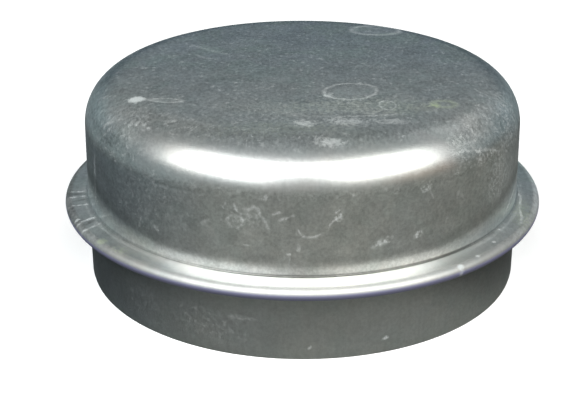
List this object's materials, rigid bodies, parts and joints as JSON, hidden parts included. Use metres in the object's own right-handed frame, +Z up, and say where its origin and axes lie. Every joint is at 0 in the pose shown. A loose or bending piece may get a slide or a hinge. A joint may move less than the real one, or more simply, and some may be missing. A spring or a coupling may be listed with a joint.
{
  "type": "hub grease cap",
  "caption": "Round press-in grease cap for a wheel hub, drawn from plated sheet steel, with a rounded closed end, a folded flange and a straight skirt.",
  "frame": {"origin": "centre of the open edge, in the plane that the cap stands on", "axes": "+Z up the cap's axis, from the open edge to the closed end; X and Y are free, because the cap is round"},
  "size_m": [0.0762, 0.0762, 0.0318],
  "materials": {
    "zinc_plated_steel": "zinc plated, satin, with scuffs and dried stains"
  },
  "bodies": {
    "root": {"grease_cap": "zinc_plated_steel"}
  },
  "joints": []
}
